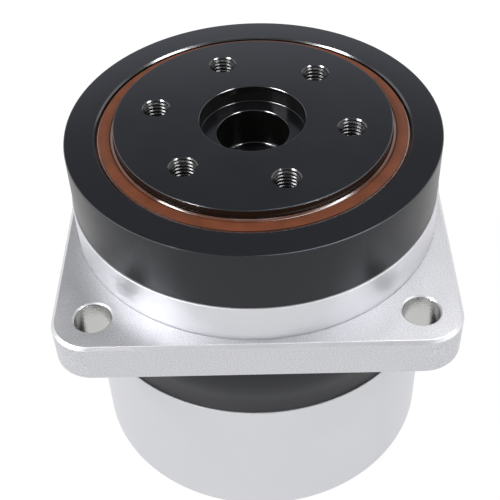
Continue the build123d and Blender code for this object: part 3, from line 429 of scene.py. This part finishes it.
def blasted(name, tone, rough, grain):
    """Bead blasted and clear anodised aluminium, smoother on the drilled walls of the corner holes
    and brighter on its broken edges, where the lighter colour is a painted highlight."""
    drilled_colour = (0.50, 0.50, 0.49)
    edge_highlight_colour = silver(0.68)
    n = Nodes(bpy.data.materials.new(name))
    place = n.coords()
    fine = n.noise(place, scale=3000, detail=3.0)
    pits = n.noise(place, scale=2600, detail=1.0)
    cloud = n.noise(place, scale=60, detail=3.0)
    skin = n.shades(fine, [
        (0.30, silver(tone * 0.74)), (0.5, silver(tone)), (0.70, silver(tone * 1.26)),
    ])
    corner = n.add("VectorMath", {0: place}, operation="ABSOLUTE").outputs[0]
    from_hole = n.add("VectorMath", {
        0: corner, 1: (1, 1, 0), 2: (-HOLE_AT * MM, -HOLE_AT * MM, 0),
    }, operation="MULTIPLY_ADD").outputs[0]
    wall = (HOLE_R + 0.05) * MM
    skin_from = (HOLE_R + 0.15) * MM
    drilled = n.spread(n.length(from_hole), 1.0, 0.0, wall, skin_from)
    rise = n.split(n.coords("Normal"))["Z"]
    # Sloped faces, the broken edges, take a lighter colour: a painted highlight along them
    broken = n.shades(rise, [(0.2, grey(0)), (0.4, grey(1)), (0.85, grey(1)), (0.95, grey(0))])
    wear = n.spread(cloud, rough - 0.03, rough + 0.04)
    smoother = n.spread(drilled, 1.0, 0.4, 0.0, 1.0)
    sanded = n.bump(fine, strength=grain, distance=0.00004)
    return n.surface(n.add("BsdfPrincipled", {
        "Metallic": 1.0,
        "Base Color": n.painted(broken, n.painted(drilled, skin, drilled_colour), edge_highlight_colour),
        "Roughness": n.times(wear, smoother),
        "Normal": n.bump(pits, strength=grain, distance=0.00006, under=sanded),
    }))


def turned(name, side, rough, lines, face=None, face_rough=None, edge=None, metallic=1.0):
    """A lathe turned surface, with fine lines round the axis.

    Its sides, flat faces and broken edges can differ in colour, a lighter edge colour being a painted
    highlight, and its flat faces can be smoother."""
    face = face or side
    edge = edge or side
    n = Nodes(bpy.data.materials.new(name))
    place = n.coords()
    part = n.split(place)
    radius = n.length(n.joined(X=part["X"], Y=part["Y"]))
    groove = n.noise(n.joined(X=radius, Z=part["Z"]), scale=6000, detail=2.0)
    cloud = n.noise(place, scale=45, detail=3.0)
    rise = n.split(n.coords("Normal"))["Z"]
    # Colour by slope: sides, broken edges, flat faces; a lighter edge colour paints a highlight along the
    # edges
    paint = n.shades(rise, [(0.15, side), (0.35, edge), (0.85, edge), (0.97, face)])
    depth = n.spread(groove, 0.88, 1.10)
    wear = n.spread(cloud, rough - 0.025, rough + 0.03)
    if face_rough is not None:
        wear = n.times(wear, n.spread(rise, 1.0, face_rough / rough, 0.2, 0.6))
    return n.surface(n.add("BsdfPrincipled", {
        "Metallic": metallic,
        "Base Color": n.add("VectorMath", {0: paint, "Scale": depth}, operation="SCALE").outputs[0],
        "Roughness": wear,
        "Normal": n.bump(groove, strength=lines, distance=0.00002),
    }))


def rubber(name, colour, rough=0.5, shine=0.3):
    """Moulded rubber with a faint bloom."""
    n = Nodes(bpy.data.materials.new(name))
    place = n.coords()
    cloud = n.noise(place, scale=160, detail=4.0)
    fine = n.noise(place, scale=3000, detail=2.0)
    return n.surface(n.add("BsdfPrincipled", {
        "Specular IOR Level": shine,
        "Base Color": n.mottle(cloud, colour, 0.85, 1.18),
        "Roughness": n.spread(cloud, rough - 0.06, rough + 0.06),
        "Normal": n.bump(fine, strength=0.2, distance=0.00003),
    }))


def ground(name, colour, rough=0.25):
    """Ground or machined steel."""
    n = Nodes(bpy.data.materials.new(name))
    drawn = n.add("Mapping", {"Vector": n.coords(), "Scale": (900, 900, 5200)}).outputs[0]
    lines = n.noise(drawn, scale=1.0, detail=2.0)
    return n.surface(n.add("BsdfPrincipled", {
        "Metallic": 1.0,
        "Base Color": n.mottle(lines, colour, 0.9, 1.08),
        "Roughness": n.spread(lines, rough - 0.04, rough + 0.05),
        "Normal": n.bump(lines, strength=0.15, distance=0.00002),
    }))


def plastic(name, colour, rough=0.45):
    """Moulded plastic."""
    n = Nodes(bpy.data.materials.new(name))
    fine = n.noise(n.coords(), scale=1800, detail=3.0)
    return n.surface(n.add("BsdfPrincipled", {
        "Base Color": n.mottle(fine, colour, 0.92, 1.06),
        "Roughness": n.spread(fine, rough - 0.05, rough + 0.05),
        "Normal": n.bump(fine, strength=0.15, distance=0.00003),
    }))


BLACK_TOP = (0.053, 0.056, 0.067)
# Broken edges of the black parts: a lighter colour, a painted highlight along them
BLACK_EDGE_HIGHLIGHT = (0.115, 0.115, 0.12)
SILVER = blasted("silver_blasted", tone=0.585, rough=0.41, grain=0.85)
SILVER_TURNED = turned("silver_turned", silver(0.66), rough=0.52, lines=0.3)
BLACK = turned("black_band", (0.034, 0.035, 0.038), rough=0.36, lines=0.2, face=BLACK_TOP,
               face_rough=0.15, edge=BLACK_EDGE_HIGHLIGHT, metallic=0.95)
BLACK_DULL = turned("black_spline_band", (0.046, 0.047, 0.050), rough=0.45, lines=0.2, metallic=0.95)
# Walls of the bore, recess and holes lighter and warmer than the flat faces: partly painted glow of the
# lamps on them, partly a warmer tone
BLACK_FACE = turned("black_face", (0.074, 0.071, 0.065), rough=0.17, lines=0.15, face=BLACK_TOP,
                    edge=BLACK_EDGE_HIGHLIGHT, metallic=0.95)
BLACK_THREAD = turned("black_thread", (0.07, 0.07, 0.072), rough=0.22, lines=0.1, metallic=0.95)
FASTENER = turned("fastener_black", (0.05, 0.05, 0.052), rough=0.36, lines=0.2, metallic=0.95)
SEAL = rubber("seal_brown", (0.092, 0.0245, 0.0085), rough=0.5, shine=0.22)
# Lip darker than the seal's body: painted shade where the lip dips beside the flange
SEAL_LIP = rubber("seal_lip_brown", (0.066, 0.018, 0.006), rough=0.16, shine=0.9)
O_RING = rubber("o_ring_black", grey(0.012))
STEEL = ground("bearing_steel", (0.62, 0.62, 0.63))
SHAFT = ground("shaft_steel", (0.50, 0.50, 0.51), rough=0.32)
SPRING = ground("spring_steel", (0.45, 0.45, 0.47), rough=0.3)
CAGE = plastic("cage_plastic", (0.72, 0.68, 0.55))
PLUG = plastic("plug_plastic", grey(0.02))


def dress(obj, material):
    """Gives an object one material."""
    obj.data.materials.clear()
    obj.data.materials.append(material)


def stand_for(piece, material, body, slot, *nodes):
    """Makes a piece ride on its body, and show the CAD nodes that are named with finer form."""
    dress(piece, material)
    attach(piece, body)
    if nodes:
        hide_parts(*nodes)


# Output flange
def output_flange():
    """Black turned flange with its pilot recess, the rim in its bore and its tapped holes."""
    z_pilot = Z_OUT - PILOT_DEPTH
    z_rim = Z_OUT - BORE_DEPTH
    rim_r = BORE_R - RIM_IN
    outline = rounded([
        (PILOT_R, Z_OUT, 0.35), (OUT_R, Z_OUT, EDGE_ROUND), (OUT_R, Z_SHOULDER),
        (FLANGE_LAND_R, Z_SHOULDER, 0.2), (FLANGE_LAND_R, Z_RING, 0.2), (HUB_R, Z_RING), (HUB_R, Z_HUB),
        (SPIGOT_R, Z_HUB), (SPIGOT_R, Z_SPIGOT, 0.3), (BORE_R, Z_SPIGOT), (BORE_R, z_rim - RIM_T),
        (rim_r, z_rim - RIM_T, 0.25), (rim_r, z_rim, 0.25), (BORE_R, z_rim), (BORE_R, z_pilot, 0.35),
        (PILOT_R, z_pilot, 0.15),
    ])
    holes = []
    for x, y in around(TAPS, TAP_CIRCLE, TAP_TURN):
        holes.append(moved(drill(TAP_R, Z_OUT - TAP_DEPTH, Z_OUT, TAP_BREAK, TAP_POINT), x, y))
    body = keep(less(lathe_mesh(outline), holes), "output_flange_body")
    stand_for(body, BLACK_FACE, "output", "output_black", "output_flange")


def thread(name, x, y):
    """The ridges of a tapped hole: a tube whose wall follows a helix."""
    low = Z_OUT - TAP_DEPTH + UNTAPPED
    high = Z_OUT - TAP_BREAK - RIDGE_CLEAR
    rows = int((high - low) / TAP_PITCH * THREAD_ROWS)
    bm = bmesh.new()
    grid = []
    for i in range(rows + 1):
        z = low + (high - low) * i / rows
        fade = min(1.0, (high - z) / RIDGE_FADE)
        ring = []
        for k in range(THREAD_STEPS):
            a = 2 * math.pi * k / THREAD_STEPS
            phase = (z / TAP_PITCH - k / THREAD_STEPS) % 1.0
            ridge = min(1.0, CREST * (1 - abs(2 * phase - 1)))
            r = TAP_R + RIDGE_CLEAR - RIDGE_H * ridge * fade
            ring.append(bm.verts.new(((x + r * math.cos(a)) * MM, (y + r * math.sin(a)) * MM, z * MM)))
        grid.append(ring)
    for below, above in zip(grid, grid[1:]):
        for k in range(THREAD_STEPS):
            n = (k + 1) % THREAD_STEPS
            bm.faces.new([below[n], below[k], above[k], above[n]])
    piece = keep(bm, name, THREAD_SHARP, weighted=False)
    stand_for(piece, BLACK_THREAD, "output", "output_black")


# Output seal
def output_seal():
    """Brown lip seal: the oily lip that runs on the flange, darker than the body as painted shade beside
    the flange, and its body with a flat face.
    """

    def at(out, down, fillet=0.0):
        """A corner, from the flange's edge outwards and from the seal's face down."""
        return OUT_R + out, SEAL_FACE - down, fillet

    lip = [
        at(1.9, 2.0), at(1.9, 4.4), at(2.4, 4.9), at(2.4, 6.4), at(1.8, 6.7), at(0.03, 5.5),
        at(1.2, 3.9), at(1.2, 1.9), at(0.33, 0.7), at(0.04, -0.15, 0.04), at(0.28, -0.25, 0.08),
        at(0.75, 0.12, 0.12), at(1.0, 0.2, 0.1), at(1.3, 0.02), at(1.5, 1.1),
    ]
    body = [
        at(5.45, SEAL_H), at(4.9, SEAL_H), at(4.9, 0.6), at(2.3, 0.6), at(2.3, 1.1), at(1.9, 2.0),
        at(1.5, 1.1), at(1.3, 0, 0.1), at(4.65, 0, 0.06), at(4.65, 1.2), at(5.45, 1.2),
    ]
    for name, outline, material in (
        ("output_seal_lip_edge", lip, SEAL_LIP),
        ("output_seal_rubber", body, SEAL),
    ):
        piece = keep(lathe_mesh(rounded(outline), SEAL_STEPS), name, SEAL_SHARP)
        stand_for(piece, material, "housing", "seal_rubber", "output_seal_lip")


# Fixed black rings
def bearing_ring():
    """The upper black ring, with the seam of its filling plug cut at the back."""
    z_seat = SEAL_FACE - SEAL_H
    outline = rounded([
        (RING_LAND_R, Z_SKIRT, 0.2), (SKIRT_R, Z_SKIRT, 0.3), (SKIRT_R, Z_RING), (RING_R, Z_RING, 0.3),
        (RING_R, Z_RING_TOP, 0.5), (SEAL_R + SEAL_BREAK, Z_RING_TOP, 0.15),
        (SEAL_R, Z_RING_TOP - SEAL_BREAK, 0.1), (SEAL_R, z_seat), (RING_LAND_R, z_seat, 0.2),
    ])
    seam = block(PLUG_R - SEAM_IN, PLUG_R + SEAM_OUT, RING_R - SEAM_DEPTH, RING_R + CUT_PAST)
    cutter = moved(laid_back(lathe_mesh(seam, SEAM_STEPS)), z=Z_ROLLER)
    body = keep(less(lathe_mesh(outline, FINE), [cutter]), "bearing_ring_body")
    stand_for(body, BLACK, "housing", "black_steel", "outer_bearing_ring", "roller_filling_plug")


def spline_band():
    """The lower black band with its internal teeth."""
    tooth = (
        (-ROOT_SHARE, TOOTH_ROOT_R), (-TIP_SHARE, TOOTH_TIP_R),
        (TIP_SHARE, TOOTH_TIP_R), (ROOT_SHARE, TOOTH_ROOT_R),
    )
    bm = bmesh.new()
    layers = []
    for z in (Z_SPLINE, Z_HOUSING):
        inner, outer = [], []
        for k in range(SPLINE_TEETH):
            for share, r in tooth:
                a = 2 * math.pi * (k + 0.5 + share) / SPLINE_TEETH
                inner.append(bm.verts.new((r * MM * math.cos(a), r * MM * math.sin(a), z * MM)))
                outer.append(bm.verts.new((RING_R * MM * math.cos(a), RING_R * MM * math.sin(a), z * MM)))
        layers.append((inner, outer))
    (low_in, low_out), (high_in, high_out) = layers
    count = len(low_in)
    for k in range(count):
        n = (k + 1) % count
        bm.faces.new([low_out[k], low_out[n], high_out[n], high_out[k]])
        bm.faces.new([low_in[n], low_in[k], high_in[k], high_in[n]])
        bm.faces.new([high_out[k], high_out[n], high_in[n], high_in[k]])
        bm.faces.new([low_out[n], low_out[k], low_in[k], low_in[n]])
    body = keep(bm, "spline_band_body")
    stand_for(body, BLACK_DULL, "housing", "black_steel", "circular_spline")


# Silver casings
def plate_mesh():
    """The square plate: round corners, a chamfer along its top edges and a small one below."""
    flat = FLANGE_HALF - CORNER_R
    inside = 5.0
    edge = rounded([
        (inside, Z_HOUSING), (FLANGE_FOOT, Z_HOUSING, 0.12), (0.0, Z_HOUSING + FLANGE_FOOT, 0.12),
        (0.0, Z_FLANGE - FLANGE_BREAK, 0.35), (FLANGE_BREAK, Z_FLANGE, 0.35), (inside, Z_FLANGE),
    ])
    bm = bmesh.new()
    rings = []
    for back, z in edge[1:-1]:
        ring = []
        r = CORNER_R - back
        for corner, (sx, sy) in enumerate([(1, 1), (-1, 1), (-1, -1), (1, -1)]):
            for k in range(CORNER_STEPS + 1):
                a = math.radians(90 * corner + 90 * k / CORNER_STEPS)
                x, y = sx * flat + r * math.cos(a), sy * flat + r * math.sin(a)
                ring.append(bm.verts.new((x * MM, y * MM, z * MM)))
        rings.append(ring)
    count = len(rings[0])
    for below, above in zip(rings, rings[1:]):
        for k in range(count):
            n = (k + 1) % count
            bm.faces.new([below[k], below[n], above[n], above[k]])
    bm.faces.new(rings[-1])
    bm.faces.new(list(reversed(rings[0])))
    return bm


def flange_plate():
    """Blasted square flange with its corner holes and the line round the boss."""
    below = Z_HOUSING - CUT_PAST
    above = Z_FLANGE + CUT_PAST
    bore = block(0, HOUSING_BORE_R, below, above)
    groove = block(BARREL_R - GROOVE_UNDER, BARREL_R + GROOVE_W, Z_FLANGE - GROOVE_DEPTH, above)
    cutters = [lathe_mesh(bore, COARSE), lathe_mesh(groove, FINE)]
    for x, y in ((1, 1), (-1, 1), (-1, -1), (1, -1)):
        cutters.append(moved(drill(HOLE_R, below, Z_FLANGE, HOLE_BREAK), x * HOLE_AT, y * HOLE_AT))
    body = keep(less(plate_mesh(), cutters), "flange_plate")
    stand_for(body, SILVER, "housing", "silver_casing", "flange_housing")


def boss():
    """Turned boss, with the seat of the bearing ring in its upper face."""
    z_foot = Z_FLANGE - BOSS_SUNK
    outline = rounded([
        (HOUSING_BORE_R, z_foot), (BARREL_R, z_foot), (BARREL_R, Z_RING, BOSS_ROUND),
        (SKIRT_R, Z_RING), (SKIRT_R, Z_SKIRT), (HOUSING_BORE_R, Z_SKIRT),
    ])
    body = keep(lathe_mesh(outline, FINE), "flange_boss")
    stand_for(body, SILVER_TURNED, "housing", "silver_casing", "flange_housing")


def motor_adapter():
    """Turned barrel towards the motor: pilot, cavities, seats, screw wells, tapped and access holes."""
    z_lip = ADAPTER_H + LIP_H
    z_cavity = ADAPTER_H - CAVITY_DEPTH
    outline = rounded([
        (MOTOR_PILOT_R, 0.0, 0.3), (BARREL_R, 0.0, EDGE_ROUND), (BARREL_R, ADAPTER_H, EDGE_ROUND),
        (LIP_OUT_R, ADAPTER_H), (LIP_OUT_R, z_lip), (LIP_IN_R, z_lip),
        (LIP_IN_R, ADAPTER_H - LIP_BORE_DEPTH), (CAVITY_R, z_cavity + CAVITY_WALL), (CAVITY_R, z_cavity),
        (BEARING_R, z_cavity), (BEARING_R, Z_BEARING), (INPUT_SEAL_R, Z_BEARING),
        (INPUT_SEAL_R, Z_INPUT_SEAL), (WEB_BORE_R, Z_INPUT_SEAL), (WEB_BORE_R, Z_WEB, 0.2),
        (MOTOR_CAVITY_R, Z_WEB, 0.5), (MOTOR_CAVITY_R, MOTOR_PILOT_DEPTH, 0.3),
        (MOTOR_PILOT_R, MOTOR_PILOT_DEPTH),
    ])
    well = block(0, WELL_R, -CUT_PAST, WELL_DEPTH)
    mouth_r = MOTOR_TAP_R + MOTOR_TAP_BREAK
    tap = [
        (0, -CUT_PAST), (mouth_r, -CUT_PAST), (mouth_r, 0), (MOTOR_TAP_R, MOTOR_TAP_BREAK),
        (MOTOR_TAP_R, MOTOR_TAP_DEPTH), (0, MOTOR_TAP_DEPTH + MOTOR_TAP_POINT),
    ]
    access = block(0, ACCESS_R, ACCESS_FROM, BARREL_R + CUT_PAST)
    cutters = []
    for x, y in around(SPLINE_SCREWS, SPLINE_SCREW_CIRCLE, SPLINE_SCREW_FIRST):
        cutters.append(moved(lathe_mesh(well, SCREW_STEPS), x, y))
    for x, y in around(MOTOR_TAPS, MOTOR_TAP_CIRCLE, MOTOR_TAP_FIRST):
        cutters.append(moved(lathe_mesh(tap, SCREW_STEPS), x, y))
    cutters.append(moved(laid_back(lathe_mesh(access, SCREW_STEPS)), ACCESS_X, 0, ACCESS_Z))
    body = keep(less(lathe_mesh(outline, FINE), cutters), "motor_adapter_body")
    stand_for(body, SILVER_TURNED, "housing", "silver_casing", "motor_adapter")


output_flange()
for index, (tap_x, tap_y) in enumerate(around(TAPS, TAP_CIRCLE, TAP_TURN)):
    thread(f"output_thread_{index + 1}", tap_x, tap_y)
output_seal()
bearing_ring()
spline_band()
flange_plate()
boss()
motor_adapter()

# Finishes of the solids
SOLID_LOOKS = (
    (SILVER, ("flange_housing",)),
    (SILVER_TURNED, ("motor_adapter",)),
    (BLACK, ("outer_bearing_ring", "roller_filling_plug")),
    (BLACK_DULL, ("circular_spline",)),
    (BLACK_FACE, ("output_flange", "bore_cap")),
    (SEAL, ("output_seal_lip", "input_seal_lip")),
    (O_RING, ("joint_o_rings",)),
    (FASTENER, ("filling_plug_pin", "bearing_ring_screws", "circular_spline_screws",
                "flexspline_screws", "clamp_screw", "cam_screws")),
    (STEEL, ("casing_dowels", "flexspline_dowels", "crossed_rollers", "input_bearing_outer_race",
             "input_bearing_inner_race", "input_bearing_balls", "flex_bearing_outer_race",
             "flex_bearing_inner_race", "flex_bearing_balls")),
    (SPRING, ("output_seal_case", "output_seal_spring", "input_seal_case", "input_seal_spring",
              "bearing_circlip", "shaft_circlip", "flexspline")),
    (SHAFT, ("input_shaft", "clamp_collar", "flexspline_clamp_ring", "wave_generator_cam",
             "cam_retainer")),
    (CAGE, ("flex_bearing_cage", "roller_spacers", "input_bearing_cage")),
    (PLUG, ("access_plug",)),
)
for look, solids in SOLID_LOOKS:
    for solid in solids:
        dress(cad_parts[solid], look)


# Studio, in metres and watts
WHITE = (1, 1, 1, 1)
PAINT = (0.9, 0.9, 0.9, 1)
GLOW_SHARE = 0.88           # of the floor, where it is seen
FLOOR_HALF = 3.0
FLOOR_BELOW = 0.0002
LAMPS_AIM = (0, 0, 0.08)

# Camera, in metres, with the lens and the sensor in millimetres
LENS = 72.188
SENSOR = 36.0
CLIP_START = 0.01
CAMERA_PLACE = (0.004626, -0.243138, 0.302184)
CAMERA_RIGHT = (0.999507, -0.001311, -0.031359)
CAMERA_UP = (0.023378, 0.697763, 0.715947)


def background(name):
    """White where the camera and reflections see it, with the part's soft shadow."""
    n = Nodes(bpy.data.materials.new(name))
    path = n.add("LightPath").outputs
    straight_or_mirrored = n.larger(path["Is Camera Ray"], path["Is Glossy Ray"])
    seen = n.larger(straight_or_mirrored, path["Is Transmission Ray"])
    glow = n.add("Emission", {"Color": WHITE, "Strength": 1.0}).outputs[0]
    paint = n.add("BsdfDiffuse", {"Color": PAINT}).outputs[0]
    shown = n.add("MixShader", {"Fac": GLOW_SHARE, 1: paint, 2: glow}).outputs[0]
    return n.surface(n.add("MixShader", {"Fac": seen, 1: paint, 2: shown}))


def studio_floor():
    """A wide white floor just under the part."""
    bm = bmesh.new()
    bmesh.ops.create_grid(bm, x_segments=1, y_segments=1, size=FLOOR_HALF)
    floor = keep(bm, "floor", weighted=False)
    floor.location.z = -FLOOR_BELOW
    dress(floor, background("floor_white"))


def lamp(name, place, size, power):
    """A soft box aimed at the middle of the part."""
    data = bpy.data.lights.new(name, "AREA")
    data.shape = "RECTANGLE"
    data.size, data.size_y = size
    data.energy = power
    obj = bpy.data.objects.new(name, data)
    bpy.context.scene.collection.objects.link(obj)
    obj.location = place
    way = Vector(LAMPS_AIM) - Vector(place)
    obj.rotation_euler = way.to_track_quat("-Z", "Y").to_euler()


def studio_world():
    """Even white light, weaker from high up and from the front, and plain white for the camera."""
    world = bpy.data.worlds.new("studio")
    bpy.context.scene.world = world
    n = Nodes(world, "OutputWorld")
    way = n.split(n.coords("Generated"))
    high = n.spread(way["Z"], 1.0, 0.30, start=0.51, end=0.59)
    front = n.spread(way["Y"], 0.75, 1.0, start=-0.60, end=-0.30)
    camera_ray = n.add("LightPath").outputs["Is Camera Ray"]
    level = n.add("Mix", {"Factor": camera_ray, "A": n.times(high, front), "B": 1.0}).outputs[0]
    n.surface(n.add("Background", {"Color": WHITE, "Strength": level}))


def studio_camera():
    """A long lens that looks down on the part from the front."""
    data = bpy.data.cameras.new("camera")
    data.sensor_width = SENSOR
    data.lens = LENS
    data.clip_start = CLIP_START
    camera = bpy.data.objects.new("camera", data)
    bpy.context.scene.collection.objects.link(camera)
    bpy.context.scene.camera = camera
    right = Vector(CAMERA_RIGHT).normalized()
    up = Vector(CAMERA_UP).normalized()
    pose = Matrix((right, up, right.cross(up))).transposed().to_4x4()
    pose.translation = Vector(CAMERA_PLACE)
    camera.matrix_world = pose


studio_floor()
lamp("left", place=(-0.582, -0.262, 0.78), size=(0.42, 0.15), power=6.8)
lamp("right", place=(0.56, -0.24, 0.81), size=(0.45, 0.12), power=3.7)
lamp("left_low", place=(-0.86, -0.25, 0.32), size=(0.35, 0.30), power=0.4)
lamp("right_low", place=(0.86, -0.25, 0.32), size=(0.35, 0.30), power=0.5)
lamp("top", place=(0.25, 0.25, 0.97), size=(0.45, 0.35), power=3.2)
lamp("top_front", place=(0.0, -0.26, 1.00), size=(0.35, 0.15), power=0.9)
studio_world()
studio_camera()
bpy.context.scene.view_settings.view_transform = "Standard"

bpy.context.view_layer.update()
